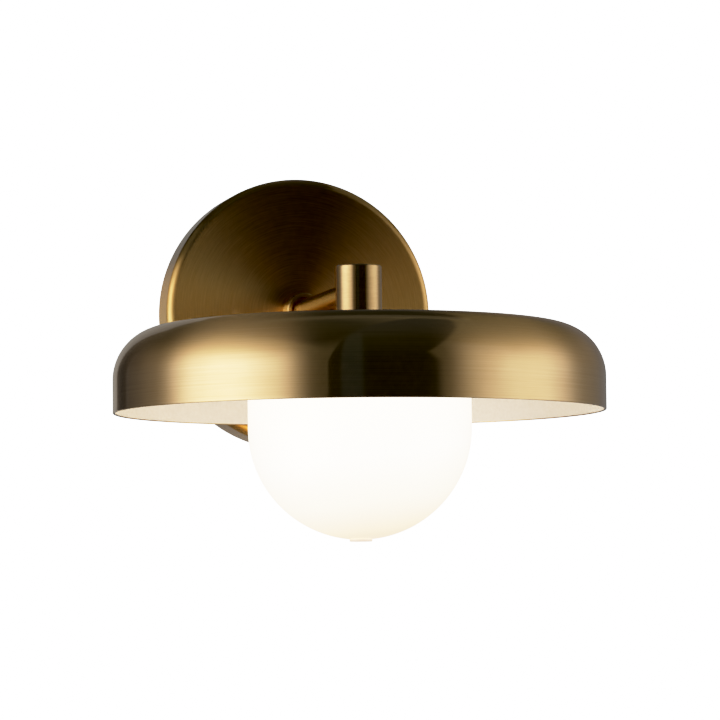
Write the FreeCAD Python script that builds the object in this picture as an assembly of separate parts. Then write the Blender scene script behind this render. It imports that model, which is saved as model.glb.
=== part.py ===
import FreeCAD, Part
import math
import os

# Globe wall sconce. All lengths are in millimetres.
# The origin is the centre of the backplate on the wall plane. +Y goes into the
# wall, the light stands out towards -Y, +X is to the right and +Z is up.

os.makedirs("parts", exist_ok=True)

# Backplate cover, a drawn dish with its open side to the wall
plate_radius = 63.5
plate_depth = 22.6
plate_wall = 1.2
plate_edge_radius = 3.6

# Threaded tube, one size for the arm's ends and the stem, with its nuts
thread_radius = 4.86
bore_radius = 3.5
thread_clearance = 0.05
thread_stand_out = 1.5
nut_flats = 14.0
nut_height = 4.0
nut_bevel = 0.6
lock_washer_radius = 8.2
lock_washer_height = 1.2
lock_washer_slit = 1.4

# Arm and collar
arm_radius = 5.3
collar_radius = 8.5
collar_length = 9.4
collar_step = 3.4
collar_recess_radius = 6.6
collar_recess_depth = 3.0
collar_chamfer = 0.6
reinforcing_radius = 20.0
reinforcing_thickness = 2.0

# Post over the shade
post_radius = 10.16
post_height = 24.3
post_rise = 11.1
post_chamfer = 0.5
post_socket_depth = 2.0
post_thread_length = 3.6
post_room_radius = 4.5
post_room_rise = 4.6
post_floor = 1.0

# Spun shade
shade_radius = 107.95
shade_wall = 1.2
shade_skirt = 14.6
shade_shoulder_radius = 23.2
shade_crown_rise = 2.56
shade_seat_margin = 1.0
shade_rim_edge_radius = 0.45
shade_back_gap = 2.45

# Fitter under the shade
shade_washer_radius = 15.0
shade_washer_thickness = 1.5
cup_wall = 1.2
cup_depth = 15.1
cup_edge_radius = 2.4
cup_flange_width = 4.6

# Opal globe and its gasket
globe_radius = 49.0
globe_wall = 3.0
globe_height = 76.65
globe_neck_radius = 27.8
globe_neck_clearance = 0.3
globe_neck_engagement = 11.2
globe_neck_fillet = 1.0
globe_shoulder_radius = 13.0
globe_nub_radius = 5.0
globe_nub_height = 0.8
globe_nub_edge_radius = 0.5
gasket_thickness = 1.5
gasket_width = 3.4

# Lampholder and its bracket
bracket_thickness = 1.0
bracket_width = 12.0
bracket_leg_width = 8.0
bracket_leg_length = 19.0
holder_radius = 9.8
holder_flat = 9.2
holder_height = 18.0
holder_edge = 1.0
holder_gap = 1.7
holder_recess_length = 12.0
holder_recess_width = 5.2
holder_recess_depth = 4.6
holder_screw_drop = 5.0
holder_screw_radius = 1.3
holder_screw_length = 2.6
holder_screw_head_radius = 2.3
holder_screw_head_height = 1.3
contact_width = 2.2
contact_leaf = 0.4
contact_clearance = 0.3
contact_lift = 1.0

# Plug-in lamp with two wire loop pins
pin_spacing = 9.0
pin_wire_radius = 0.5
pin_loop_radius = 0.9
pin_length = 8.0
lamp_gap = 0.3
lamp_base_radius = 8.0
lamp_base_height = 12.0
lamp_base_edge = 0.8
lamp_envelope_radius = 8.5
lamp_envelope_height = 29.5
lamp_envelope_wall = 1.0
lamp_board_width = 10.0
lamp_board_thickness = 1.2
lamp_board_height = 21.0
lamp_chip_width = 2.8
lamp_chip_height = 0.7
lamp_chip_count = 5

# Mounting strap and the screws that hold the cover to it
strap_width = 16.0
strap_thickness = 2.0
strap_tab_length = 14.0
strap_tab_clearance = 0.35
strap_slot_spacing = 88.9
strap_slot_width = 4.8
strap_slot_length = 12.0
cover_screw_radius = 2.0
cover_screw_length = 9.3
cover_screw_setback = 8.0
cover_screw_inset = 0.3
cover_screw_socket_radius = 1.1
cover_screw_socket_depth = 2.0
hole_clearance = 0.3

# Ground connection
ground_screw_drop = 33.0
ground_screw_radius = 2.0
ground_screw_head_radius = 4.0
ground_screw_head_height = 3.0
screw_tip_gap = 0.2
screw_slot_width = 0.5
screw_slot_depth = 0.6
terminal_ring_thickness = 0.8
terminal_ring_margin = 2.1
arm_ring_radius = 8.0
barrel_radius = 1.8
barrel_wall = 0.65
barrel_length = 4.5
barrel_lift = 0.2
barrel_neck = 1.0
ground_lead_radius = 1.0
ground_lead_insert = 2.0
ground_lead_straight = 0.5

# Leads and the bushings that they pass
lead_radius = 0.9
lead_offset = 1.1
lead_bend_radius = 4.0
lead_foot = 1.9
lead_gather = 0.9
lead_rise = 6.0
lead_insert = 6.0
bushing_flange_radius = 4.6
bushing_flange_height = 1.0
bushing_sleeve_length = 5.0
bushing_wall = 0.75

# Supply terminals
block_width = 20.0
block_height = 16.0
block_depth = 11.0
block_base_height = 16.0
pole_spacing = 10.0
insert_radius = 2.2
insert_bore_radius = 1.35
insert_inset = 1.0
terminal_screw_radius = 1.0
terminal_screw_head_radius = 1.6
terminal_screw_head_height = 1.4
terminal_screw_inset = 0.6
terminal_screw_margin = 4.0
fixing_screw_radius = 1.2
fixing_screw_head_radius = 1.7
fixing_screw_head_height = 1.6
fixing_screw_sink = 4.0

# One overrun serves all cuts
overrun = 1.0

# Stack along the arm's axis, as distances out from the wall plane
reach = plate_depth + shade_back_gap + shade_radius
plate_inner = plate_depth - plate_wall
reinforcing_back = plate_inner - reinforcing_thickness
arm_ring_back = reinforcing_back - terminal_ring_thickness
arm_washer_back = arm_ring_back - lock_washer_height
arm_nut_back = arm_washer_back - nut_height
arm_tail = arm_nut_back - thread_stand_out
arm_bushing_end = arm_tail - bushing_flange_height
lead_drop = arm_bushing_end - lead_bend_radius
arm_step = plate_depth + collar_step
collar_front = plate_depth + collar_length
arm_socket = reach - post_radius + post_socket_depth
arm_nose = arm_socket + post_thread_length

# Heights on the head's axis
seat_top = post_rise - post_height
shade_seat_radius = shade_washer_radius + shade_seat_margin
shoulder_axis_radius = shade_radius - shade_shoulder_radius
crown_height = shade_shoulder_radius + shade_crown_rise
crown_square = shoulder_axis_radius ** 2 + crown_height ** 2 - shade_shoulder_radius ** 2
crown_radius = crown_square / (2 * shade_crown_rise)
crown_sag = crown_radius - math.sqrt(crown_radius ** 2 - shade_seat_radius ** 2)
crown_axis_height = seat_top + crown_sag - crown_radius
shoulder_axis_height = seat_top + crown_sag - crown_height
rim_bottom = shoulder_axis_height - shade_skirt
seat_bottom = seat_top - shade_wall
cup_top = seat_bottom - shade_washer_thickness
cup_inner_top = cup_top - cup_wall
bracket_bottom = cup_inner_top - bracket_thickness
fitter_washer_bottom = bracket_bottom - lock_washer_height
fitter_nut_bottom = fitter_washer_bottom - nut_height
stem_bottom = fitter_nut_bottom - thread_stand_out
stem_top = -thread_radius - post_floor
stem_bushing_end = stem_bottom - bushing_flange_height
holder_top = stem_bushing_end - holder_gap
holder_bottom = holder_top - holder_height
recess_floor = holder_top - holder_recess_depth
cup_rim = cup_top - cup_depth
gasket_bottom = cup_rim - gasket_thickness
neck_top = cup_rim + globe_neck_engagement
globe_centre = gasket_bottom - globe_height + globe_radius
lamp_top = holder_bottom - lamp_gap
lamp_base_bottom = lamp_top - lamp_base_height
lamp_bottom = lamp_base_bottom - lamp_envelope_height


# Helpers for shapes made about the Z axis

def on_circle(centre, radius, angle):
    """Point at an angle in degrees on a circle."""
    turn = math.radians(angle)
    return (centre[0] + radius * math.cos(turn), centre[1] + radius * math.sin(turn))


def turned(outline):
    """Solid turned about Z. An item of the outline is a corner (radius, height),
    or a pair of points, which is an arc through the first to the second."""
    edges = []
    start = outline[0]
    for item in outline[1:] + outline[:1]:
        arc = isinstance(item[0], tuple)
        end = item[1] if arc else item
        points = [start, item[0], end] if arc else [start, end]
        vectors = [FreeCAD.Vector(point[0], 0, point[1]) for point in points]
        edges.append(Part.Arc(*vectors).toShape() if arc else Part.makeLine(*vectors))
        start = end
    face = Part.Face(Part.Wire(edges))
    return face.revolve(FreeCAD.Vector(0, 0, 0), FreeCAD.Vector(0, 0, 1), 360)


def ring(outer, inner, low, high):
    """Flat ring or tube about Z."""
    return turned([(inner, low), (outer, low), (outer, high), (inner, high)])


def disc(radius, low, high):
    """Solid cylinder about Z."""
    return Part.makeCylinder(radius, high - low, FreeCAD.Vector(0, 0, low))


def rod(radius, start, end):
    """Solid cylinder between two points."""
    base = FreeCAD.Vector(*start)
    along = FreeCAD.Vector(*end) - base
    return Part.makeCylinder(radius, along.Length, base, along)


def box(low, high):
    """Box between its lowest and highest corners."""
    sizes = [high[axis] - low[axis] for axis in range(3)]
    return Part.makeBox(*sizes, FreeCAD.Vector(*low))


def hexagon(corner, low, high):
    """Hexagonal prism about Z, with its corners at a radius."""
    points = [on_circle((0, 0), corner, 60 * step) for step in range(7)]
    outline = Part.makePolygon([FreeCAD.Vector(x, y, low) for x, y in points])
    return Part.Face(outline).extrude(FreeCAD.Vector(0, 0, high - low))


def moved(shape, x, y, z):
    """Copy of a shape moved by three lengths."""
    shape = shape.copy()
    shape.translate(FreeCAD.Vector(x, y, z))
    return shape


def to_front(shape):
    """Turn a shape made about +Z so that its +Z points out from the wall."""
    shape = shape.copy()
    shape.rotate(FreeCAD.Vector(0, 0, 0), FreeCAD.Vector(1, 0, 0), 90)
    return shape


def to_head(shape):
    """Move a shape made about Z to the head's axis."""
    return moved(shape, 0, -reach, 0)


def flipped_x(shape):
    """The like shape on the other side of the middle plane."""
    return shape.mirror(FreeCAD.Vector(0, 0, 0), FreeCAD.Vector(1, 0, 0))


def swept(edges, radius):
    """Round wire of one radius along joined edges."""
    path = Part.Wire(edges)
    start = path.OrderedVertexes[0].Point
    along = edges[0].tangentAt(edges[0].FirstParameter)
    section = Part.Wire([Part.makeCircle(radius, start, along)])
    return path, path.makePipeShell([section], True, False)


def tube_along(name, points, radius, bend_radius):
    """Solid lead of straight runs joined by tangent arcs, all of one radius."""
    corners = [FreeCAD.Vector(*point) for point in points]
    edges = []
    start = corners[0]
    for before, corner, after in zip(corners, corners[1:], corners[2:]):
        inward = (corner - before).normalize()
        outward = (after - corner).normalize()
        half_turn = inward.getAngle(outward) / 2
        setback = bend_radius * math.tan(half_turn)
        to_centre = (outward - inward).normalize()
        middle = corner + to_centre * (bend_radius / math.cos(half_turn) - bend_radius)
        leave = corner - inward * setback
        join = corner + outward * setback
        edges.append(Part.makeLine(start, leave))
        edges.append(Part.Arc(leave, middle, join).toShape())
        start = join
    edges.append(Part.makeLine(start, corners[-1]))
    path, solid = swept(edges, radius)
    ratio = solid.Volume / (math.pi * radius ** 2 * path.Length)
    print(name, "length", round(path.Length, 1), "bend", bend_radius, "volume ratio", round(ratio, 4))
    return solid


def save(name, *solids):
    """Write one node as one STEP file."""
    shape = solids[0] if len(solids) == 1 else Part.makeCompound(list(solids))
    shape.exportStep("parts/" + name + ".step")


# Threaded tube fasteners, used behind the backplate and under the shade

def lock_washer(low):
    """Split spring washer with its lower face at a height."""
    high = low + lock_washer_height
    washer = ring(lock_washer_radius, thread_radius + thread_clearance, low, high)
    slit_half = lock_washer_slit / 2
    slit = box((0, -slit_half, low - overrun), (lock_washer_radius + overrun, slit_half, high + overrun))
    return washer.cut(slit)


def hex_nut(low):
    """Hexagon nut, bevelled at both faces, with its lower face at a height."""
    high = low + nut_height
    corner = nut_flats / math.sqrt(3)
    hole = thread_radius + thread_clearance
    barrel = turned([
        (hole, low),
        (corner - nut_bevel, low),
        (corner, low + nut_bevel),
        (corner, high - nut_bevel),
        (corner - nut_bevel, high),
        (hole, high),
    ])
    return hexagon(corner, low, high).common(barrel)


def wire_bushing(low):
    """Flanged plastic sleeve in the end of a threaded tube, its flange at a height."""
    sleeve = bore_radius - thread_clearance
    opening = sleeve - bushing_wall
    shoulder = low + bushing_flange_height
    top = shoulder + bushing_sleeve_length
    return turned([
        (opening, low),
        (bushing_flange_radius, low),
        (bushing_flange_radius, shoulder),
        (sleeve, shoulder),
        (sleeve, top),
        (opening, top),
    ])


# Backplate group

def backplate_cover():
    edge = plate_radius - plate_edge_radius
    inner_wall = plate_radius - plate_wall
    corner = (edge, plate_depth - plate_edge_radius)
    hole = thread_radius + hole_clearance
    dish = turned([
        (inner_wall, 0),
        (plate_radius, 0),
        (plate_radius, corner[1]),
        (on_circle(corner, plate_edge_radius, 45), (edge, plate_depth)),
        (hole, plate_depth),
        (hole, plate_inner),
        (edge, plate_inner),
        (on_circle(corner, plate_edge_radius - plate_wall, 45), (inner_wall, corner[1])),
    ])
    end = plate_radius + overrun
    screw_hole = rod(
        cover_screw_radius + hole_clearance,
        (0, -cover_screw_setback, -end),
        (0, -cover_screw_setback, end),
    )
    return to_front(dish).cut(screw_hole)


def strap_slot(height):
    """Cutter for one upright slot that takes a wall box screw."""
    radius = strap_slot_width / 2
    half_run = strap_slot_length / 2 - radius
    front = -strap_thickness - overrun
    cutter = box((-radius, front, height - half_run), (radius, overrun, height + half_run))
    for end in (height - half_run, height + half_run):
        cutter = cutter.fuse(rod(radius, (0, front, end), (0, overrun, end)))
    return cutter


def mounting_strap():
    half = strap_width / 2
    inner_wall = plate_radius - plate_wall
    tab_outer = math.sqrt(inner_wall ** 2 - half ** 2) - strap_tab_clearance
    tab_inner = tab_outer - strap_thickness
    strap = box((-half, -strap_thickness, -tab_outer), (half, 0, tab_outer))
    tab = box((-half, -strap_tab_length, tab_inner), (half, 0, tab_outer))
    strap = strap.fuse(tab).fuse(tab.mirror(FreeCAD.Vector(0, 0, 0), FreeCAD.Vector(0, 0, 1)))
    end = tab_outer + overrun
    cuts = [rod(
        cover_screw_radius + thread_clearance,
        (0, -cover_screw_setback, -end),
        (0, -cover_screw_setback, end),
    )]
    for side in (-1, 1):
        cuts.append(strap_slot(side * strap_slot_spacing / 2))
    taps = (
        (ground_screw_radius, -ground_screw_drop),
        (fixing_screw_radius, block_base_height + block_height / 2),
    )
    for radius, height in taps:
        front = -strap_thickness - overrun
        cuts.append(rod(radius + thread_clearance, (0, front, height), (0, overrun, height)))
    for cutter in cuts:
        strap = strap.cut(cutter)
    return strap.removeSplitter()


def cover_screws():
    """Two flush set screws, cover to strap, at the top and the bottom."""
    outer = plate_radius - cover_screw_inset
    socket_floor = outer - cover_screw_socket_depth
    screw = disc(cover_screw_radius, outer - cover_screw_length, outer)
    screw = screw.cut(hexagon(cover_screw_socket_radius, socket_floor, outer + overrun))
    top = moved(screw, 0, -cover_screw_setback, 0)
    return top, top.mirror(FreeCAD.Vector(0, 0, 0), FreeCAD.Vector(0, 0, 1))


def slotted_screw(radius, tip, head_low, head_high, head):
    """Screw about Z, its tip down, with a straight slot in its head."""
    reach_out = head_high - head_low + radius + overrun
    half = screw_slot_width / 2
    slot = box((-reach_out, -half, head_high - screw_slot_depth), (reach_out, half, head_high + overrun))
    return head.fuse(disc(radius, tip, head_low)).cut(slot).removeSplitter()


def reinforcing_plate():
    hole = thread_radius + thread_clearance
    return to_front(ring(reinforcing_radius, hole, reinforcing_back, plate_inner))


# Ground connection

def ground_screw():
    low = strap_thickness + terminal_ring_thickness
    high = low + ground_screw_head_height
    head = hexagon(ground_screw_head_radius, low, high)
    screw = slotted_screw(ground_screw_radius, screw_tip_gap, low, high, head)
    return moved(to_front(screw), 0, 0, -ground_screw_drop)


def ring_terminal(hole, outer, back, barrel_axis, side):
    """Flat ring at a distance out from the wall, with a tongue and a crimp barrel
    that point up (side 1) or down (side -1)."""
    front = back + terminal_ring_thickness
    near = outer + barrel_neck
    far = near + barrel_length
    ends = sorted((side * (outer - barrel_neck), side * (near + barrel_neck)))
    tongue = box((-barrel_radius, -front, ends[0]), (barrel_radius, -back, ends[1]))
    barrel = rod(barrel_radius, (0, -barrel_axis, side * near), (0, -barrel_axis, side * far))
    bore = rod(
        barrel_radius - barrel_wall,
        (0, -barrel_axis, side * (near - overrun)),
        (0, -barrel_axis, side * (far + overrun)),
    )
    flat = to_front(ring(outer, hole, back, front))
    return flat.fuse(tongue).fuse(barrel.cut(bore)).removeSplitter()


arm_barrel_axis = reinforcing_back - barrel_radius - barrel_lift
strap_barrel_axis = strap_thickness + barrel_radius + barrel_lift
strap_ring_hole = ground_screw_radius + hole_clearance
strap_ring_radius = strap_ring_hole + terminal_ring_margin
barrel_far = barrel_neck + barrel_length


def ground_ring_arm():
    hole = thread_radius + thread_clearance
    return ring_terminal(hole, arm_ring_radius, arm_ring_back, arm_barrel_axis, -1)


def ground_ring_strap():
    terminal = ring_terminal(strap_ring_hole, strap_ring_radius, strap_thickness, strap_barrel_axis, 1)
    return moved(terminal, 0, 0, -ground_screw_drop)


def lead_ground():
    arm_mouth = -arm_ring_radius - barrel_far
    strap_mouth = -ground_screw_drop + strap_ring_radius + barrel_far
    straight = lead_bend_radius + ground_lead_straight
    return tube_along("lead_ground", [
        (0, -arm_barrel_axis, arm_mouth + ground_lead_insert),
        (0, -arm_barrel_axis, arm_mouth - straight),
        (0, -strap_barrel_axis, strap_mouth + straight),
        (0, -strap_barrel_axis, strap_mouth - ground_lead_insert),
    ], ground_lead_radius, lead_bend_radius)


# Supply terminals on the strap

block_front = strap_thickness + block_depth
block_middle = block_base_height + block_height / 2
terminal_screw_front = block_front - terminal_screw_inset
terminal_screw_neck = terminal_screw_front - terminal_screw_head_height
fixing_screw_front = block_front - fixing_screw_sink
fixing_screw_neck = fixing_screw_front - fixing_screw_head_height


def terminal_places():
    """Sideways place and height of each terminal screw."""
    sides = (-pole_spacing / 2, pole_spacing / 2)
    heights = (
        block_base_height + terminal_screw_margin,
        block_base_height + block_height - terminal_screw_margin,
    )
    return [(x, z) for x in sides for z in heights]


def screw_well(head_radius, radius, x, z, neck, floor):
    """Cutter for a screw that goes in from the block's front."""
    head_hole = rod(head_radius + thread_clearance, (x, -neck, z), (x, -block_front - overrun, z))
    return head_hole.fuse(rod(radius + thread_clearance, (x, -floor, z), (x, -neck - thread_clearance, z)))


def terminal_block():
    half = block_width / 2
    block_top = block_base_height + block_height
    block = box((-half, -block_front, block_base_height), (half, -strap_thickness, block_top))
    for x in (-pole_spacing / 2, pole_spacing / 2):
        start = (x, -lead_drop, block_base_height - overrun)
        block = block.cut(rod(insert_radius + thread_clearance, start, (x, -lead_drop, block_top + overrun)))
    for x, z in terminal_places():
        block = block.cut(screw_well(
            terminal_screw_head_radius, terminal_screw_radius, x, z, terminal_screw_neck, lead_drop))
    well = screw_well(
        fixing_screw_head_radius, fixing_screw_radius, 0, block_middle, fixing_screw_neck, 0)
    return block.cut(well)


def terminal_inserts():
    """One brass tube in each pole, with a tapped hole for each screw."""
    low = block_base_height + insert_inset
    high = block_base_height + block_height - insert_inset
    tube = ring(insert_radius, insert_bore_radius, low, high)
    inserts = [moved(tube, x, -lead_drop, 0) for x in (-pole_spacing / 2, pole_spacing / 2)]
    for x, z in terminal_places():
        tap = rod(terminal_screw_radius + thread_clearance, (x, -lead_drop, z), (x, -block_front, z))
        inserts = [insert.cut(tap) for insert in inserts]
    return inserts


def terminal_screws():
    tip = lead_drop + lead_radius + thread_clearance
    head = disc(terminal_screw_head_radius, terminal_screw_neck, terminal_screw_front)
    screw = slotted_screw(terminal_screw_radius, tip, terminal_screw_neck, terminal_screw_front, head)
    screw = to_front(screw)
    return [moved(screw, x, 0, z) for x, z in terminal_places()]


def terminal_fixing_screw():
    head = disc(fixing_screw_head_radius, fixing_screw_neck, fixing_screw_front)
    screw = slotted_screw(fixing_screw_radius, screw_tip_gap, fixing_screw_neck, fixing_screw_front, head)
    return moved(to_front(screw), 0, 0, block_middle)


# Arm group

def arm_collar():
    """Turned ring with a stepped bore: thread at the wall, arm in front of it."""
    tail_bore = thread_radius + thread_clearance
    arm_bore = arm_radius + thread_clearance
    recess = collar_front - collar_recess_depth
    return to_front(turned([
        (tail_bore, plate_depth),
        (collar_radius, plate_depth),
        (collar_radius, collar_front - collar_chamfer),
        (collar_radius - collar_chamfer, collar_front),
        (collar_recess_radius, collar_front),
        (collar_recess_radius, recess),
        (arm_bore, recess),
        (arm_bore, arm_step),
        (tail_bore, arm_step),
    ]))


def arm_tube():
    """Hollow arm, turned down and threaded at both ends."""
    return to_front(turned([
        (bore_radius, arm_tail),
        (thread_radius, arm_tail),
        (thread_radius, arm_step),
        (arm_radius, arm_step),
        (arm_radius, arm_socket),
        (thread_radius, arm_socket),
        (thread_radius, arm_nose),
        (bore_radius, arm_nose),
    ]))


def power_lead(name, side):
    """Lead from a lampholder contact up the stem, back through the arm and up to its terminal."""
    near = side * lead_offset
    contact = side * pin_spacing / 2
    pole = side * pole_spacing / 2
    return tube_along(name, [
        (contact, -reach, recess_floor),
        (contact, -reach, recess_floor + lead_foot),
        (near, -reach, stem_bushing_end - lead_gather),
        (near, -reach, 0),
        (near, -lead_drop, 0),
        (near, -lead_drop, lead_rise),
        (pole, -lead_drop, 2 * lead_rise),
        (pole, -lead_drop, block_base_height + lead_insert),
    ], lead_radius, lead_bend_radius)


# Head group

def post_body():
    edge = post_radius - post_chamfer
    post = turned([
        (0, seat_top),
        (post_radius, seat_top),
        (post_radius, post_rise - post_chamfer),
        (edge, post_rise),
        (0, post_rise),
    ])
    thread_hole = thread_radius + thread_clearance
    post = post.cut(disc(thread_hole, seat_top - overrun, stem_top))
    post = post.cut(disc(post_room_radius, stem_top - overrun, post_room_rise))
    socket_from_axis = reach - arm_socket
    post = post.cut(rod(thread_hole, (0, 0, 0), (0, socket_from_axis + overrun, 0)))
    end = post_radius + overrun
    post = post.cut(rod(arm_radius + thread_clearance, (0, socket_from_axis, 0), (0, end, 0)))
    return to_head(post)


def fitter_stem():
    return to_head(ring(thread_radius, bore_radius, stem_bottom, stem_top))


def shade_arcs(depth):
    """Crown and shoulder arcs of the shade, at a depth inside its outer face."""
    shoulder = (shoulder_axis_radius, shoulder_axis_height)
    crown = (0, crown_axis_height)
    lean = math.degrees(math.asin(shoulder_axis_radius / (crown_radius - shade_shoulder_radius)))
    seat_lean = math.degrees(math.asin(shade_seat_radius / crown_radius))
    meet = 90 - lean
    crown_middle = 90 - (lean + seat_lean) / 2
    return (
        on_circle(crown, crown_radius - depth, crown_middle),
        on_circle(crown, crown_radius - depth, meet),
        on_circle(shoulder, shade_shoulder_radius - depth, meet / 2),
        (shade_radius - depth, shoulder_axis_height),
    )


def shade_shell():
    """Flat seat, shallow crown, round shoulder and straight skirt, spun from one sheet."""
    hole = thread_radius + hole_clearance
    crown_out, meet_out, shoulder_out, skirt_out = shade_arcs(0)
    crown_in, meet_in, shoulder_in, skirt_in = shade_arcs(shade_wall)
    edge = shade_rim_edge_radius
    rim_out = (shade_radius - edge, rim_bottom + edge)
    rim_in = (shade_radius - shade_wall + edge, rim_bottom + edge)
    return to_head(turned([
        (hole, seat_top),
        (shade_seat_radius, seat_top),
        (crown_out, meet_out),
        (shoulder_out, skirt_out),
        (shade_radius, rim_out[1]),
        (on_circle(rim_out, edge, -45), (rim_out[0], rim_bottom)),
        (rim_in[0], rim_bottom),
        (on_circle(rim_in, edge, -135), (shade_radius - shade_wall, rim_in[1])),
        skirt_in,
        (shoulder_in, meet_in),
        (crown_in, (shade_seat_radius, seat_bottom)),
        (hole, seat_bottom),
    ]))


def shade_washer():
    return to_head(ring(shade_washer_radius, thread_radius + thread_clearance, cup_top, seat_bottom))


def fitter_cup():
    """Drawn cup with an outward flange, its wall rolled as the thread for the globe's neck."""
    inner = globe_neck_radius + globe_neck_clearance
    outer = inner + cup_wall
    flange = inner + cup_flange_width
    hole = thread_radius + thread_clearance
    corner = (outer - cup_edge_radius, cup_top - cup_edge_radius)
    inner_edge = cup_edge_radius - cup_wall
    return to_head(turned([
        (hole, cup_top),
        (corner[0], cup_top),
        (on_circle(corner, cup_edge_radius, 45), (outer, corner[1])),
        (outer, cup_rim + cup_wall),
        (flange, cup_rim + cup_wall),
        (flange, cup_rim),
        (inner, cup_rim),
        (inner, corner[1]),
        (on_circle(corner, inner_edge, 45), (corner[0], cup_inner_top)),
        (hole, cup_inner_top),
    ]))


def globe_gasket():
    inner = globe_neck_radius + globe_neck_fillet + globe_neck_clearance
    return to_head(ring(inner + gasket_width, inner, gasket_bottom, cup_rim))


def opal_globe():
    """Blown glass: screw neck, flat shoulder, straight side, round bottom and a small nub."""
    middle = (0, globe_centre)
    inside = globe_radius - globe_wall
    shoulder = (globe_radius - globe_shoulder_radius, gasket_bottom - globe_shoulder_radius)
    shoulder_inner = globe_shoulder_radius - globe_wall
    throat = (globe_neck_radius + globe_neck_fillet, gasket_bottom + globe_neck_fillet)
    throat_inner = globe_neck_fillet + globe_wall
    neck_inner = globe_neck_radius - globe_wall
    nub_lean = math.degrees(math.asin(globe_nub_radius / globe_radius))
    nub_floor = globe_centre - globe_radius - globe_nub_height
    nub_edge = (globe_nub_radius - globe_nub_edge_radius, nub_floor + globe_nub_edge_radius)
    return to_head(turned([
        (neck_inner, neck_top),
        (globe_neck_radius, neck_top),
        (globe_neck_radius, throat[1]),
        (on_circle(throat, globe_neck_fillet, 225), (throat[0], gasket_bottom)),
        (shoulder[0], gasket_bottom),
        (on_circle(shoulder, globe_shoulder_radius, 45), (globe_radius, shoulder[1])),
        (globe_radius, globe_centre),
        (on_circle(middle, globe_radius, -45), on_circle(middle, globe_radius, nub_lean - 90)),
        (globe_nub_radius, nub_edge[1]),
        (on_circle(nub_edge, globe_nub_edge_radius, -45), (nub_edge[0], nub_floor)),
        (0, nub_floor),
        (0, globe_centre - inside),
        (on_circle(middle, inside, -45), (inside, globe_centre)),
        (inside, shoulder[1]),
        (on_circle(shoulder, shoulder_inner, 45), (shoulder[0], gasket_bottom - globe_wall)),
        (throat[0], gasket_bottom - globe_wall),
        (on_circle(throat, throat_inner, 225), (neck_inner, throat[1])),
    ]))


# Lampholder group

holder_screw_height = holder_top - holder_screw_drop


def lampholder_bracket():
    """Bent strip under the cup, with a leg down each side of the holder."""
    half = holder_flat + bracket_thickness
    depth = bracket_width / 2
    leg_depth = bracket_leg_width / 2
    leg_bottom = bracket_bottom - bracket_leg_length
    strip = box((-half, -depth, bracket_bottom), (half, depth, cup_inner_top))
    leg = box((holder_flat, -leg_depth, leg_bottom), (half, leg_depth, cup_inner_top))
    strip = strip.fuse(leg).fuse(flipped_x(leg))
    strip = strip.cut(disc(thread_radius + thread_clearance, bracket_bottom - overrun, cup_top))
    end = half + overrun
    height = holder_screw_height
    hole = rod(holder_screw_radius + thread_clearance, (-end, 0, height), (end, 0, height))
    return to_head(strip.cut(hole).removeSplitter())


def holder_screws():
    """Two screws through the bracket's legs into the holder's flats."""
    face = holder_flat + bracket_thickness
    top = face + holder_screw_head_height
    head = disc(holder_screw_head_radius, face, top)
    screw = slotted_screw(holder_screw_radius, holder_flat - holder_screw_length, face, top, head)
    screw.rotate(FreeCAD.Vector(0, 0, 0), FreeCAD.Vector(0, 1, 0), 90)
    right = moved(screw, 0, 0, holder_screw_height)
    return to_head(right), to_head(flipped_x(right))


def pin_slot(x):
    """Cutter for the slot round one contact."""
    half_width = contact_width / 2 + contact_clearance
    half_depth = pin_loop_radius + pin_wire_radius + contact_clearance + contact_leaf + contact_clearance
    return box(
        (x - half_width, -half_depth, holder_bottom - overrun),
        (x + half_width, half_depth, recess_floor + overrun),
    )


def lampholder():
    """Ceramic body with a wire recess on top and two pin slots below."""
    inner = holder_radius - holder_edge
    body = turned([
        (0, holder_bottom),
        (inner, holder_bottom),
        (holder_radius, holder_bottom + holder_edge),
        (holder_radius, holder_top - holder_edge),
        (inner, holder_top),
        (0, holder_top),
    ])
    body = body.common(box(
        (-holder_flat, -holder_radius, holder_bottom), (holder_flat, holder_radius, holder_top)))
    half_length = holder_recess_length / 2
    half_width = holder_recess_width / 2
    body = body.cut(box(
        (-half_length, -half_width, recess_floor), (half_length, half_width, holder_top + overrun)))
    floor = holder_flat - holder_screw_length - contact_clearance
    for side in (-1, 1):
        body = body.cut(pin_slot(side * pin_spacing / 2))
        body = body.cut(rod(
            holder_screw_radius + thread_clearance,
            (side * floor, 0, holder_screw_height),
            (side * (holder_flat + overrun), 0, holder_screw_height),
        ))
    return to_head(body)


def lampholder_contacts():
    """Two bent spring clips, a leaf at each side of each pin."""
    half_width = contact_width / 2
    leaf_inner = pin_loop_radius + pin_wire_radius + contact_clearance
    leaf_outer = leaf_inner + contact_leaf
    low = holder_bottom + contact_lift
    clips = []
    for side in (-1, 1):
        x = side * pin_spacing / 2
        clip = box((x - half_width, -leaf_outer, low), (x + half_width, leaf_outer, recess_floor))
        gap = box(
            (x - half_width - overrun, -leaf_inner, low - overrun),
            (x + half_width + overrun, leaf_inner, recess_floor - contact_leaf),
        )
        clips.append(to_head(clip.cut(gap)))
    return clips


# Lamp group

def lamp_pins():
    """Two loops of round wire that stand up from the lamp's base."""
    bend = lamp_top + pin_length - pin_wire_radius - pin_loop_radius
    pins = []
    for side in (-1, 1):
        x = side * pin_spacing / 2
        front, back = (FreeCAD.Vector(x, y, bend) for y in (-pin_loop_radius, pin_loop_radius))
        crest = FreeCAD.Vector(x, 0, bend + pin_loop_radius)
        drop = FreeCAD.Vector(0, 0, lamp_top - bend)
        edges = [
            Part.makeLine(front + drop, front),
            Part.Arc(front, crest, back).toShape(),
            Part.makeLine(back, back + drop),
        ]
        pins.append(to_head(swept(edges, pin_wire_radius)[1]))
    return pins


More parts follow.
